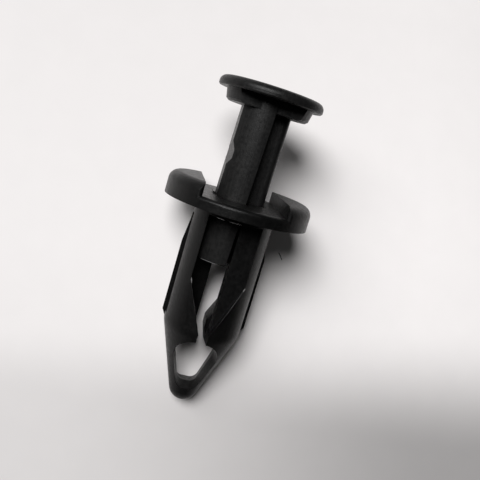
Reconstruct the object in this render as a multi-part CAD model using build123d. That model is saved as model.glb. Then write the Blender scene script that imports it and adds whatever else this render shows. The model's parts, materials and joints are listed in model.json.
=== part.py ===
from build123d import *
import os
from math import asin, atan, cos, degrees, hypot, radians, sin, sqrt, tan

os.makedirs("parts", exist_ok=True)

# Plastic push rivet, lying on its side with the pin still raised. Millimetres.
# Both mouldings are drawn upright first: the rivet's axis on Z, the flange's underside
# at z = 0, the head upwards and the tip downwards. lie_down() then rests them on z = 0.

# pin in the body
running_clearance = 0.1
side_clearance = 0.25

# flange and its two ears
flange_radius = 9.0
plate_thickness = 1.4
plate_edge_round = 0.45
ear_height = 2.95
ear_edge_round = 1.2
ear_corner_round = 0.4
channel_half_width = 4.95

# push pin
head_radius = 6.48
head_height = 1.25
head_top_round = 0.8
head_under_chamfer = 0.15
head_seat = 13.95
boss_radius = 5.4
boss_height = 1.5
boss_half_depth = 3.6
boss_lean = 12.0
boss_edge_chamfer = 0.25
pin_end_depth = 6.45
pin_lobe_radius = 3.8
pin_half_width = 3.05
pin_web_half = 1.3
pin_web_round = 0.8
lobe_edge_top = 0.68
lobe_edge_end = 0.33
pin_end_chamfer = 0.15
pin_lean = 0.9

# detent notches in the pin's sides
notch_low = 5.25
notch_floor_low = 6.1
notch_floor_high = 7.1
notch_high = 8.1
notch_depth = 0.36

# shank: round at the top, then split into legs
shank_radius = 5.0
shoulder_radius = 4.9
shoulder_depth = 15.4
shoulder_round = 3.0
ring_depth = 0.85

# the two back legs stand further apart than the front ones
spread_start = 2.2
spread_full = 5.5
back_leg_half_spread = 5.53
back_leg_shift = 0.14
back_leg_end = 14.7
back_leg_tuck = 1.1

# windows between the legs, front and back
window_half_width = pin_half_width + side_clearance
lobe_side_corner = 8.95
rib_side_corner = 8.5
web_gap_half_width = 0.64
web_end_rise = 0.3
web_end_depth = shoulder_depth - web_end_rise
rib_inner_face = pin_web_half + running_clearance
rib_outer_face = 3.5
rib_edge = 0.77

# slots between a front leg and a back leg
side_slot_half_width = 1.0
side_slot_top = 1.5
side_slot_end_rise = 0.8
side_slot_end = shoulder_depth - side_slot_end_rise

# nose and the hole through it
nose_length = 10.1
tip_depth = shoulder_depth + nose_length
tip_radius = 1.9
hole_top_drop = 1.4
hole_top_depth = shoulder_depth + hole_top_drop
tip_wall = 2.5
hole_bottom_depth = tip_depth - tip_wall
hole_top_half_width = 3.15
hole_bottom_half_width = 1.02
hole_corner_round = 1.8
gap_end = hole_top_depth + hole_corner_round
hole_bottom_round = 1.0
hole_draft = 7.0

# how it lies: on the flange's rim and the ends of the back legs, rolled a little to the left
lie_tilt = degrees(atan((flange_radius - shank_radius) / back_leg_end))
lie_roll = -7.0


def half_turn(shape):
    return shape.rotate(Axis.Z, 180)


def block(x0, x1, y0, y1, z0, z1):
    centre = ((x0 + x1) / 2, (y0 + y1) / 2, (z0 + z1) / 2)
    return Pos(*centre) * Box(x1 - x0, y1 - y0, z1 - z0)


def across(points, y0, y1):
    # an outline drawn as seen from the front, run from y0 to y1
    face = make_face(Polyline([(x, 0, z) for x, z in points], close=True))
    return Pos(0, y0, 0) * extrude(face, amount=y1 - y0, dir=(0, 1, 0))


def ear_pair():
    # a rounded disc, kept where it stands outside the channel; the corners are rounded too
    disc = Pos(0, 0, ear_height / 2) * Cylinder(flange_radius, ear_height)
    disc = fillet(disc.edges().sort_by(Axis.Z)[-1], ear_edge_round)
    reach = 2 * flange_radius
    segment = Circle(flange_radius) & Pos(channel_half_width + reach / 2, 0) * Rectangle(reach, reach)
    segment = fillet(segment.vertices(), ear_corner_round)
    ear = disc & extrude(segment, ear_height)
    return ear + half_turn(ear)


def flange():
    plate = Pos(0, 0, plate_thickness / 2) * Cylinder(flange_radius, plate_thickness)
    plate = fillet(plate.edges().sort_by(Axis.Z)[-1], plate_edge_round)
    return plate + ear_pair()


def nose_slope():
    # angle of the cone that runs from the shoulder to touch the rounded tip
    run = nose_length - tip_radius
    reach = hypot(run, shoulder_radius)
    return degrees(atan(shoulder_radius / run) - asin(tip_radius / reach))


def nose_radius(depth):
    return shoulder_radius - (depth - shoulder_depth) * tan(radians(nose_slope()))


def round_shank():
    slope = radians(nose_slope())
    centre_z = tip_radius - tip_depth
    touch = (tip_radius * cos(slope), 0, centre_z - tip_radius * sin(slope))
    mid = radians(90 - nose_slope()) / 2
    arc_mid = (tip_radius * sin(mid), 0, centre_z - tip_radius * cos(mid))
    top = plate_thickness / 2
    tip = (0, 0, -tip_depth)
    root = (shank_radius, 0, -spread_start)
    shoulder = (shoulder_radius, 0, -shoulder_depth)
    sides = Polyline([(0, 0, top), (shank_radius, 0, top), root, shoulder, touch])
    outline = make_face(sides + ThreePointArc(touch, arc_mid, tip) + Line(tip, (0, 0, top))).face()
    corner = outline.vertices().sort_by_distance(shoulder)[:1]
    return revolve(outline.fillet_2d(shoulder_round, corner), Axis.Z)


def back_legs_spread():
    # round at the top, then wider from side to side, and tucked back into the nose below
    tuck_depth = back_leg_end + back_leg_tuck
    root = Plane.XY.offset(-spread_start) * Circle(shank_radius)
    spread = Pos(back_leg_shift, 0) * Ellipse(back_leg_half_spread, shank_radius)
    full = Pos(0, 0, -spread_full) * spread
    end = Pos(0, 0, -back_leg_end) * spread
    tuck = Plane.XY.offset(-tuck_depth) * Circle(nose_radius(tuck_depth))
    legs = loft([root, full]) + loft([full, end]) + loft([end, tuck])
    reach = 2 * shank_radius
    return legs & block(-reach, reach, side_slot_half_width, reach, -tip_depth, 0)


def window_outline(left, right):
    full = [
        (-window_half_width, -ring_depth),
        (-window_half_width, -rib_side_corner),
        (-web_gap_half_width, -web_end_depth),
        (-web_gap_half_width, -gap_end),
        (web_gap_half_width, -gap_end),
        (web_gap_half_width, -web_end_depth),
        (window_half_width, -lobe_side_corner),
        (window_half_width, -ring_depth),
    ]
    reach = 2 * shank_radius
    whole = across(full, 0, reach)
    return whole & block(left, right, 0, reach, -tip_depth, 0)


def leg_windows():
    # the back window is drawn; the front one is the same after half a turn
    deep = window_outline(-rib_edge, window_half_width)
    shallow = window_outline(-window_half_width, -rib_edge)
    reach = 2 * shank_radius
    deep &= block(-reach, reach, rib_inner_face, reach, -tip_depth, 0)
    shallow &= block(-reach, reach, rib_outer_face, reach, -tip_depth, 0)
    back = deep + shallow
    return back + half_turn(back)


def pin_channel():
    # the way the pin slides down, until its boss meets the ears: its flat middle, and its
    # lobes through the flange; the gap between the legs runs on below it to the hole
    pushed_end = pin_end_depth + head_seat - boss_height - ear_height
    low = -(pushed_end + running_clearance)
    top = plate_thickness
    half = rib_inner_face
    channel = block(-window_half_width, window_half_width, -half, half, low, top)
    channel += block(-web_gap_half_width, web_gap_half_width, -half, half, -gap_end, 0)
    bore_length = top + ring_depth
    bore = Pos(0, 0, top - bore_length / 2) * Cylinder(pin_lobe_radius + running_clearance, bore_length)
    lobe = bore & block(-rib_edge, window_half_width, 0, shank_radius, -ring_depth, top)
    return channel + lobe + half_turn(lobe)


def side_slots():
    reach = 2 * shank_radius
    inner = window_half_width - running_clearance
    half = side_slot_half_width
    slot = block(inner, reach, -half, half, -side_slot_end, -side_slot_top)
    return slot + half_turn(slot)


def hole_outline(grow, y):
    # four straight sides narrowing downwards, with rounded corners
    top = -hole_top_depth + grow
    bottom = -hole_bottom_depth - grow
    upper = hole_top_half_width + grow
    lower = hole_bottom_half_width + grow
    corners = [(-upper, 0, top), (upper, 0, top), (lower, 0, bottom), (-lower, 0, bottom)]
    face = make_face(Polyline(corners, close=True)).face()
    low_pair = face.vertices().sort_by(Axis.Z)[:2]
    face = face.fillet_2d(hole_bottom_round + grow, low_pair)
    high_pair = face.vertices().sort_by(Axis.Z)[-2:]
    return Pos(0, y, 0) * face.fillet_2d(hole_corner_round + grow, high_pair)


def nose_hole():
    # narrowest at the middle, where the two halves of the mould meet
    grow = shank_radius * tan(radians(hole_draft))
    half = loft([hole_outline(0, 0), hole_outline(grow, shank_radius)])
    return half + half_turn(half)


def grommet_body():
    body = round_shank() + back_legs_spread() + flange()
    body -= leg_windows()
    body -= pin_channel()
    body -= side_slots()
    body -= nose_hole()
    return body


def pin_head():
    head = Pos(0, 0, head_seat + head_height / 2) * Cylinder(head_radius, head_height)
    head = fillet(head.edges().sort_by(Axis.Z)[-1], head_top_round)
    return chamfer(head.edges().sort_by(Axis.Z)[0], head_under_chamfer)


def pin_boss():
    foot = boss_radius - boss_height * tan(radians(boss_lean))
    boss = Pos(0, 0, head_seat - boss_height / 2) * Cone(foot, boss_radius, boss_height)
    boss = chamfer(boss.edges().sort_by(Axis.Z)[0], boss_edge_chamfer)
    reach = 2 * boss_radius
    return boss & block(-reach, reach, -boss_half_depth, boss_half_depth, 0, 2 * head_seat)


def lobe_side_cut():
    # clears the back left corner, leaving the back right lobe; its edge leans slightly
    reach = 2 * pin_lobe_radius
    low = -pin_end_depth - 1
    points = [(-lobe_edge_end, low), (-reach, low), (-reach, head_seat), (-lobe_edge_top, head_seat)]
    return across(points, pin_web_half, reach)


def detent_notch():
    # cut into the front left corner, deepest at the front
    outer = pin_half_width + 1
    floor = pin_half_width - notch_depth
    points = [
        (-pin_half_width, notch_low),
        (-floor, notch_floor_low),
        (-floor, notch_floor_high),
        (-pin_half_width, notch_high),
        (-outer, notch_high),
        (-outer, notch_low),
    ]
    corner_y = sqrt(pin_lobe_radius**2 - pin_half_width**2)
    cut = across(points, -pin_lobe_radius, pin_web_half)
    lean = degrees(atan(notch_depth / (corner_y + pin_web_half)))
    pivot = Axis((-floor, -corner_y, 0), (0, 0, 1))
    return cut.rotate(pivot, lean)


def pin_shaft():
    length = head_seat + pin_end_depth
    shaft = Pos(0, 0, length / 2 - pin_end_depth) * Cylinder(pin_lobe_radius, length)
    reach = 2 * pin_lobe_radius
    shaft &= block(-pin_half_width, pin_half_width, -reach, reach, -reach, 2 * head_seat)
    side_cut = lobe_side_cut()
    shaft -= side_cut
    shaft -= half_turn(side_cut)
    web_corner = (-pin_half_width, pin_web_half, head_seat / 2)
    far_corner = (pin_half_width, -pin_web_half, head_seat / 2)
    uprights = shaft.edges().filter_by(Axis.Z)
    rounded = [uprights.sort_by_distance(corner)[0] for corner in (web_corner, far_corner)]
    shaft = fillet(rounded, pin_web_round)
    end_edges = shaft.faces().sort_by(Axis.Z)[0].edges()
    shaft = chamfer(end_edges, pin_end_chamfer)
    notch = detent_notch()
    shaft -= notch
    return shaft - half_turn(notch)


def push_pin():
    # it leans a little in its clearance, the head towards +X
    return (pin_head() + pin_boss() + pin_shaft()).rotate(Axis.Y, pin_lean)


def lying_plane():
    tilt = radians(lie_tilt)
    roll = radians(lie_roll)
    along_axis = (0, cos(tilt), sin(tilt))
    sideways = (cos(roll), sin(roll) * sin(tilt), -sin(roll) * cos(tilt))
    return Plane(origin=(0, 0, flange_radius * cos(tilt)), x_dir=sideways, z_dir=along_axis)


def lie_down(shapes):
    # rest both mouldings on z = 0, with the origin under the middle of the pair
    place = lying_plane().location
    lying = [shape.moved(place) for shape in shapes]
    boxes = [shape.bounding_box() for shape in lying]
    lows = [min(box.min.X for box in boxes), min(box.min.Y for box in boxes)]
    highs = [max(box.max.X for box in boxes), max(box.max.Y for box in boxes)]
    floor = min(box.min.Z for box in boxes)
    shift = Pos(-(lows[0] + highs[0]) / 2, -(lows[1] + highs[1]) / 2, -floor)
    return [shape.moved(shift) for shape in lying]


body, pin = lie_down([grommet_body().solid(), push_pin().solid()])
body.label = "grommet_body"
pin.label = "push_pin"
export_step(body, "parts/grommet_body.step")
export_step(pin, "parts/push_pin.step")
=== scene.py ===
# %% [markdown]
# # A plastic push rivet on a white table
# The rivet is two small mouldings in black plastic: a body with a flange, four legs and a
# pointed nose, and a push pin that still stands raised in it. The CAD model brings both at
# their real size, so what is made here is how they look: the plastic, the marks that moulding
# and use leave on it, the table and the light.

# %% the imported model
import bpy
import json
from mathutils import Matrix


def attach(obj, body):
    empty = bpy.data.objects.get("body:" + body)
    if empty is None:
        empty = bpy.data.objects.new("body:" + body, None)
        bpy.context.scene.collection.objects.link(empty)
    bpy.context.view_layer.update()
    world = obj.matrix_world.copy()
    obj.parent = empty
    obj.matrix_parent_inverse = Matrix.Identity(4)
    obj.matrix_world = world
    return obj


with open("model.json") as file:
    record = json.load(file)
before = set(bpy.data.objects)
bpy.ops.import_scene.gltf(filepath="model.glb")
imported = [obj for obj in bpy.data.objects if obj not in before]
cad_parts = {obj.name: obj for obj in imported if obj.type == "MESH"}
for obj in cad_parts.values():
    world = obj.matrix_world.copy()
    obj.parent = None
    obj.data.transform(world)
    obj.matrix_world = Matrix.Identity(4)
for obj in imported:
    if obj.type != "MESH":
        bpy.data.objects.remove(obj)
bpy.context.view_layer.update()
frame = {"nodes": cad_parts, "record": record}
nodes = frame["nodes"]

# %% [markdown]
# ## What is used
# No picture is read from disk. The materials are Blender's own nodes, the thin lips are
# curves, and the one ragged piece is a mesh built with bmesh. Its heights come from seeded
# random numbers, so that it is the same each time.

# %% tools
import json
import math
import random
import bmesh
import bpy
from mathutils import Matrix, Vector

scene = bpy.context.scene
MM = 0.001
print("one millimetre is", MM, "in the scene's unit, the metre")

# %% [markdown]
# ## The rivet's own axes
# Small marks are easiest to place by the rivet itself: across it, from front to back, and up
# its axis from the flange's underside. The rivet lies tilted, on its flange's rim and the end
# of one back leg, and is rolled a little about its own axis. The model's two mounts say how:
# the panel's seat lies on the flange's underside, straight across from the axis, and points
# down the axis, and the panel's hole is centred on the axis 7 mm below the flange.

# %% the rivet's axes
mounts = {mount["name"]: mount for mount in frame["record"]["mounts"]}
seat_place = Vector(mounts["panel_seat"]["pos_m"])
hole_place = Vector(mounts["panel_hole"]["pos_m"])
hole_depth = 7.0
upward = -Vector(mounts["panel_seat"]["axis"]).normalized()
flange_middle = hole_place + upward * hole_depth * MM
across = (seat_place - flange_middle).normalized()
rearward = upward.cross(across)


def place(x, y, z):
    # millimetres on the rivet's axes to metres in the scene
    return flange_middle + (across * x + rearward * y + upward * z) * MM


print("flange's middle", tuple(flange_middle), "tilt", round(math.degrees(math.asin(upward.z)), 1))

# %% [markdown]
# ## Camera
# A small thing on a table is looked at from close above, a little to its front. The lens is a
# normal one, close enough for the near end to look slightly larger than the far end. Turning
# the camera by its own right and up directions sets the rivet's slant in the view exactly.

# %% camera
eye = Vector((-0.01981, -0.00643, 0.08445))
right = Vector((0.934, 0.2186, 0.2825)).normalized()
rough_up = Vector((-0.2355, 0.9715, 0.0268))
back = right.cross(rough_up).normalized()
up = back.cross(right)
camera_data = bpy.data.cameras.new("camera")
camera_data.sensor_width = 36
camera_data.lens = 48
camera_data.clip_start = MM
camera = bpy.data.objects.new("camera", camera_data)
camera.matrix_world = Matrix.Translation(eye) @ Matrix((right, up, back)).transposed().to_4x4()
scene.collection.objects.link(camera)
scene.camera = camera
print("camera height in mm", round(eye.z / MM, 1))

# %% [markdown]
# ## Short ways to write a material
# A material is a chain of small steps. Each helper adds one step and joins it up, so that a
# material further down reads as a list of what the surface does. A value that is itself the
# output of another step is linked, and a plain number is set on the socket.

# %% adding one step


def new_material(name):
    material = bpy.data.materials.new(name)
    material.use_nodes = True
    tree = material.node_tree
    return material, tree, tree.nodes["Principled BSDF"]


def step(tree, kind, inputs=(), **settings):
    node = tree.nodes.new(kind)
    for key, value in settings.items():
        setattr(node, key, value)
    for key, value in dict(inputs).items():
        if isinstance(value, bpy.types.NodeSocket):
            tree.links.new(value, node.inputs[key])
        else:
            node.inputs[key].default_value = value
    return node


print("helpers", new_material.__name__, step.__name__)

# %% [markdown]
# ## Sums, ranges, patterns and mixed colours
# Four steps come back again and again: a sum, a value stretched from one range to another, a
# cloudy pattern, and a blend of two colours.

# %% common steps


def maths(tree, operation, a, b=0.0, c=0.0):
    return step(tree, "ShaderNodeMath", {0: a, 1: b, 2: c}, operation=operation).outputs[0]


def spread(tree, value, low, high, to_low, to_high, smooth=False):
    kind = "SMOOTHSTEP" if smooth else "LINEAR"
    inputs = {"Value": value, "From Min": low, "From Max": high, "To Min": to_low, "To Max": to_high}
    return step(tree, "ShaderNodeMapRange", inputs, interpolation_type=kind).outputs[0]


def noise(tree, where, scale, detail=2.0, roughness=0.5):
    inputs = {"Vector": where, "Scale": scale, "Detail": detail, "Roughness": roughness}
    return step(tree, "ShaderNodeTexNoise", inputs).outputs[0]


def blend_colours(tree, share, first, second):
    # sockets 6 and 7 are the two colours of the Mix node, and output 2 is its colour
    inputs = {"Factor": share, 6: first, 7: second}
    return step(tree, "ShaderNodeMix", inputs, data_type="RGBA").outputs[2]


print("helpers", maths.__name__, spread.__name__, noise.__name__, blend_colours.__name__)

# %% [markdown]
# ## Patterns that follow the rivet
# Streaks run the way a moulding was drawn from its mould, which is along the rivet's axis and
# not along the table. So the plastic's patterns are laid out in the rivet's own millimetres,
# worked out from each point by three dot products.

# %% rivet coordinates


def rivet_coordinates(tree, squeeze):
    # squeeze below 1 draws a pattern out up the axis
    where = step(tree, "ShaderNodeTexCoord").outputs["Object"]
    inputs = {0: where, 1: flange_middle}
    away = step(tree, "ShaderNodeVectorMath", inputs, operation="SUBTRACT").outputs[0]
    parts = {}
    for key, axis, size in (("X", across, 1), ("Y", rearward, 1), ("Z", upward, squeeze)):
        inputs = {0: away, 1: axis * (size / MM)}
        parts[key] = step(tree, "ShaderNodeVectorMath", inputs, operation="DOT_PRODUCT").outputs["Value"]
    return step(tree, "ShaderNodeCombineXYZ", parts).outputs[0]


print("axes in use", [tuple(round(c, 3) for c in axis) for axis in (across, rearward, upward)])

# %% [markdown]
# ## Black moulded plastic
# The real pieces come from a spark-eroded steel mould in black nylon or acetal. The surface is
# satin with a fine, shallow grain. It is duller in cloudy patches about half a millimetre wide
# where it cooled unevenly, and it has faint streaks along the way it was drawn out of the
# mould. The sharp edges are really rounded by a few hundredths of a millimetre, and that is
# what gives a black thing its thin light lines. The Bevel node rounds them in the shading
# alone, so the CAD shape stays as it is.

# %% black plastic


def black_plastic(name, grey, dull, grain, streaks):
    # grey is the base colour, dull the roughness, and grain and streaks are heights of relief;
    # the patterns' scales are in waves to the millimetre
    material, tree, shader = new_material(name)
    plain = rivet_coordinates(tree, 1.0)
    drawn = rivet_coordinates(tree, 0.06)
    cloud = noise(tree, plain, 2.4, 3.0)
    fine = noise(tree, plain, 9.0, 3.0, 0.65)
    streak = noise(tree, drawn, 4.5, 2.0)
    dust = noise(tree, plain, 26.0, 1.0)
    # colour: slow patches and streaks, with a little pale dust
    patchy = maths(tree, "MULTIPLY_ADD", streak, 0.5, maths(tree, "MULTIPLY", cloud, 0.5))
    ramp = step(tree, "ShaderNodeValToRGB", {"Fac": patchy})
    ramp.color_ramp.elements[0].position = 0.36
    ramp.color_ramp.elements[0].color = (grey * 0.72, grey * 0.72, grey * 0.74, 1)
    ramp.color_ramp.elements[1].position = 0.64
    ramp.color_ramp.elements[1].color = (grey * 1.3, grey * 1.27, grey * 1.25, 1)
    speck = spread(tree, dust, 0.72, 0.8, 0.0, 0.5)
    colour = blend_colours(tree, speck, ramp.outputs[0], (0.05, 0.05, 0.048, 1))
    tree.links.new(colour, shader.inputs["Base Color"])
    # gloss: duller and shinier patches
    gloss = maths(tree, "MULTIPLY_ADD", cloud, 0.6, maths(tree, "MULTIPLY", fine, 0.4))
    tree.links.new(spread(tree, gloss, 0.38, 0.62, dull - 0.08, dull + 0.08), shader.inputs["Roughness"])
    # relief: grain, streaks and slow waves, on top of softened edges
    height = maths(tree, "MULTIPLY_ADD", streak, streaks, maths(tree, "MULTIPLY", fine, grain))
    height = maths(tree, "MULTIPLY_ADD", cloud, 1.2, height)
    edge = step(tree, "ShaderNodeBevel", {"Radius": 0.07 * MM}, samples=6).outputs[0]
    inputs = {"Height": height, "Normal": edge, "Strength": 1.0, "Distance": 0.01 * MM}
    bump = step(tree, "ShaderNodeBump", inputs)
    tree.links.new(bump.outputs[0], shader.inputs["Normal"])
    shader.inputs["Specular IOR Level"].default_value = 0.16
    return material


body_plastic = black_plastic("body_black_plastic", 0.003, 0.37, 2.0, 0.9)
pin_plastic = black_plastic("pin_black_plastic", 0.008, 0.37, 1.9, 2.0)
print("steps in one plastic", len(body_plastic.node_tree.nodes))

# %% [markdown]
# ## Dressing the two mouldings
# The pin is a shade paler than the body, and its streaks are stronger, because it slides in
# the channel. Only the materials of the CAD pieces change.

# %% plastic on the pieces
for name, material in (("grommet_body", body_plastic), ("push_pin", pin_plastic)):
    nodes[name].data.materials.clear()
    nodes[name].data.materials.append(material)
    print(name, "wears", material.name)

# %% [markdown]
# ## A scraped burr
# The pin's shaft is a close fit in the body, and its sharp lobe scrapes a little plastic off
# the mouth of the channel when it is first pushed. The scrapings stay at the foot of the shaft
# as a thin ragged fin. It is made as a row of small wedges, each of its own height. Squaring
# the random numbers leaves most of them low and a few tall.

# %% scraped burr


def ragged_fin(name, start, end, lean, heights, thick, material, body):
    # a fin from start to end, standing out along lean by the given heights in millimetres
    start = Vector(start)
    end = Vector(end)
    lean = Vector(lean).normalized()
    side = (end - start).normalized().cross(lean).normalized() * thick / 2
    root_depth = 0.04
    tip_share = 0.35
    mesh = bmesh.new()
    rows = []
    for index, height in enumerate(heights):
        foot = start.lerp(end, index / (len(heights) - 1))
        top = foot + lean * height
        low = foot - lean * root_depth
        corners = [low - side, top - side * tip_share, top + side * tip_share, low + side]
        rows.append([mesh.verts.new(place(*corner)) for corner in corners])
    for one, two in zip(rows, rows[1:]):
        for k in range(4):
            mesh.faces.new((one[k], one[(k + 1) % 4], two[(k + 1) % 4], two[k]))
    mesh.faces.new(rows[0])
    mesh.faces.new(list(reversed(rows[-1])))
    bmesh.ops.recalc_face_normals(mesh, faces=mesh.faces)
    data = bpy.data.meshes.new(name)
    mesh.to_mesh(data)
    mesh.free()
    piece = bpy.data.objects.new(name, data)
    scene.collection.objects.link(piece)
    piece.data.materials.append(material)
    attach(piece, body)


random.seed(4)
scraped = [0.1 + 0.55 * random.random() ** 2 for _ in range(20)]
burr_start = (-3.2, -2.2, 1.34)
burr_end = (-3.2, 0.9, 1.34)
ragged_fin("scraped_burr", burr_start, burr_end, (-0.75, 0, 1), scraped, 0.1, body_plastic, "grommet")
print("wedges", len(scraped) - 1, "tallest in mm", round(max(scraped), 2))

# %% [markdown]
# ## Polished lips with painted glints
# The mould was polished bright where its parts shut against each other, so the edges of the front
# window carry hair-thin smooth lips: one down the right web, a short one at its upper end, a short
# one at the left corner, two at the top under the flange, and one across the pin's lower end. All but
# the one down the web are coloured pale grey as painted glints, and the two in the flange's shadow are
# palest.
# Each is a round wire about a tenth of a millimetre thick, half sunk in the edge and thinner
# towards its ends. A curve with a bevel makes such a wire from a few points.

# %% making a lip


def lip(name, points, thick, body, material):
    curve = bpy.data.curves.new(name, "CURVE")
    curve.dimensions = "3D"
    curve.bevel_depth = thick / 2 * MM
    curve.bevel_resolution = 2
    curve.use_fill_caps = True
    line = curve.splines.new("POLY")
    line.points.add(len(points) - 1)
    for index, (point, at) in enumerate(zip(line.points, points)):
        point.co = (*place(*at), 1)
        steps_from_end = min(index, len(points) - 1 - index)
        point.radius = min(1.0, 0.35 + 0.4 * steps_from_end)
    piece = bpy.data.objects.new(name, curve)
    scene.collection.objects.link(piece)
    curve.materials.append(material)
    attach(piece, body)
    print(name, "points", len(points))


lip_plastic = black_plastic("lip_black_plastic", 0.004, 0.22, 0.2, 0.2)
# painted glints: these two pale greys stand for light caught on thin edges, not for the plastic's own
# colour
painted_dim_glint_plastic = black_plastic("painted_dim_glint_black_plastic", 0.14, 0.35, 0.4, 0.4)
painted_glint_plastic = black_plastic("painted_glint_black_plastic", 0.7, 0.35, 0.4, 0.4)
print("lip finishes", [m.name for m in (lip_plastic, painted_dim_glint_plastic, painted_glint_plastic)])

# %% [markdown]
# ## Where the lips run
# A lip on the body follows the round face of the shank, so only its places across and up the
# rivet are chosen, and the depth follows from the shank's radius. The one on the pin follows
# the pin's own, smaller radius.

# %% the lips


def on_front(radius, start, end, count, sunk=0.0):
    # points on the front of a round face, between two places given across and up
    points = []
    for k in range(count):
        x, z = (a + (b - a) * k / (count - 1) for a, b in zip(start, end))
        points.append((x, sunk - math.sqrt(radius**2 - x**2), z))
    return points


shank_radius = 5.0
pin_radius = 3.8
window_top = -0.87
pin_end = -6.42
web_edge = on_front(shank_radius, (3.3, -8.6), (0.75, -14.8), 12)
web_end = on_front(shank_radius, (3.38, -8.4), (3.2, -8.85), 5)
corner_edge = on_front(shank_radius, (-3.27, -8.7), (-3.06, -9.35), 5)
top_left = on_front(shank_radius, (-2.4, window_top), (-1.5, window_top), 7)
top_right = on_front(shank_radius, (-0.95, window_top), (0.45, window_top), 7)
pin_edge = on_front(pin_radius, (-2.9, pin_end), (-0.7, pin_end), 9, sunk=0.06)
lip("web_lip", web_edge, 0.13, "grommet", lip_plastic)
# the five pale lips below carry painted glints, and the two under the flange are palest
lip("web_lip_end", web_end, 0.15, "grommet", painted_dim_glint_plastic)
lip("corner_lip", corner_edge, 0.15, "grommet", painted_dim_glint_plastic)
lip("window_top_lip_1", top_left, 0.14, "grommet", painted_glint_plastic)
lip("window_top_lip_2", top_right, 0.12, "grommet", painted_glint_plastic)
lip("pin_end_lip", pin_edge, 0.07, "pin", painted_dim_glint_plastic)

# %% [markdown]
# ## White laminate
# The rivet lies on a smooth white laminate, faintly warm and barely mottled. Past the rivet's
# tip it falls into the shade of something that leans over the table. The shade is painted into
# the table's colour, so that it doesn't need a large dark thing in the scene. It is laid out
# sideways and onward from a point beside the rivet, in units of 33 mm.

# %% the laminate's colour
shade_shift = (-0.00384, -0.00164, 0)
shade_turn = math.radians(-13.2)
shade_unit = 0.0329
laminate, tree, shader = new_material("white_table")
where = step(tree, "ShaderNodeTexCoord").outputs["Object"]
moved = step(tree, "ShaderNodeMapping", {"Vector": where, "Location": shade_shift}).outputs[0]
turned = step(tree, "ShaderNodeVectorRotate", {"Vector": moved, "Angle": shade_turn}).outputs[0]
split = step(tree, "ShaderNodeSeparateXYZ", {0: turned})
sideways = maths(tree, "DIVIDE", split.outputs[0], shade_unit)
onward = maths(tree, "DIVIDE", split.outputs[1], shade_unit)
# the shade's edge slants, and grows wide and deep towards the right
slant = maths(tree, "MULTIPLY_ADD", sideways, -0.12, maths(tree, "MULTIPLY", onward, -1.0))
edge_width = spread(tree, sideways, -1, 1, 0.13, 0.3)
past_edge = maths(tree, "DIVIDE", maths(tree, "SUBTRACT", slant, 0.56), edge_width)
shade = spread(tree, past_edge, -1, 1, 0, 1, True)
depth = spread(tree, sideways, -1, 1, 0.16, 0.6, True)
lit = maths(tree, "SUBTRACT", 1.0, maths(tree, "MULTIPLY", shade, depth))
# faint mottle, and the slow fall of light to the left and to the top
lit = maths(tree, "MULTIPLY", lit, spread(tree, noise(tree, where, 260, 3), 0.3, 0.7, 0.985, 1.0))
lit = maths(tree, "MULTIPLY", lit, spread(tree, sideways, -1.0, 0.9, 0.84, 1.0))
lit = maths(tree, "MULTIPLY", lit, spread(tree, onward, 0.0, 1.0, 1.0, 0.91))
paint = blend_colours(tree, lit, (0, 0, 0, 1), (0.93, 0.9, 0.895, 1))
tree.links.new(paint, shader.inputs["Base Color"])
shader.inputs["Roughness"].default_value = 0.55
shader.inputs["Specular IOR Level"].default_value = 0.2
print("steps in the laminate", len(tree.nodes))

# %% [markdown]
# ## Table and fibre
# The table and the short dark fibre on it are stage, not part of the rivet. One flat plane is
# enough for a laminate, and it is wide, so that its far edge is seen only from low down. The
# fibre is a bent wire of three points.

# %% table and fibre
bpy.ops.mesh.primitive_plane_add(size=3.0, location=(0, 0, 0))
table = bpy.context.object
table.name = "table"
table.data.materials.append(laminate)
fibre_radius = 0.06
fibre_points = ((9.72, 1.22), (10.06, 0.85), (10.39, 0.34))
fibre = bpy.data.curves.new("fibre", "CURVE")
fibre.dimensions = "3D"
fibre.bevel_depth = fibre_radius * MM
line = fibre.splines.new("POLY")
line.points.add(len(fibre_points) - 1)
for point, (x, y) in zip(line.points, fibre_points):
    point.co = (x * MM, y * MM, fibre_radius * MM, 1)
dark, tree, shader = new_material("dark_fibre")
shader.inputs["Base Color"].default_value = (0.02, 0.02, 0.02, 1)
fibre.materials.append(dark)
fibre_piece = bpy.data.objects.new("fibre", fibre)
scene.collection.objects.link(fibre_piece)
print("table", tuple(table.dimensions), "fibre points", len(line.points))

# %% [markdown]
# ## Light
# One soft light stands high to the upper left, as from a window, and a slightly wider and
# weaker one stands lower beside it. Together they give the satin plastic its broad, quiet
# highlights and leave a soft shadow to the lower right. The room is dim, so that the plastic
# stays black. A round area light is used because its size alone sets how soft the shadows are.

# %% lights
lamp_distance = 0.6


def soft_light(name, height, turn, half_angle, strength):
    # angles in degrees: above the table, round from the right, and half the light's width
    light = bpy.data.lights.new(name, "AREA")
    light.shape = "DISK"
    light.size = 2 * lamp_distance * math.tan(math.radians(half_angle))
    light.energy = strength
    lamp = bpy.data.objects.new(name, light)
    h = math.radians(height)
    t = math.radians(turn)
    away = Vector((math.cos(h) * math.cos(t), math.cos(h) * math.sin(t), math.sin(h)))
    lamp.location = away * lamp_distance
    lamp.rotation_euler = away.to_track_quat("Z", "Y").to_euler()
    scene.collection.objects.link(lamp)
    print(name, "is", round(light.size, 3), "m across")


soft_light("window", 62, 150, 13, 3.5)
soft_light("window_left", 43, 158, 15, 1.25)
world = bpy.data.worlds.new("room")
scene.world = world
world.use_nodes = True
room = world.node_tree.nodes["Background"]
room.inputs["Color"].default_value = (1, 1, 1, 1)
room.inputs["Strength"].default_value = 0.03
scene.view_settings.view_transform = "Standard"
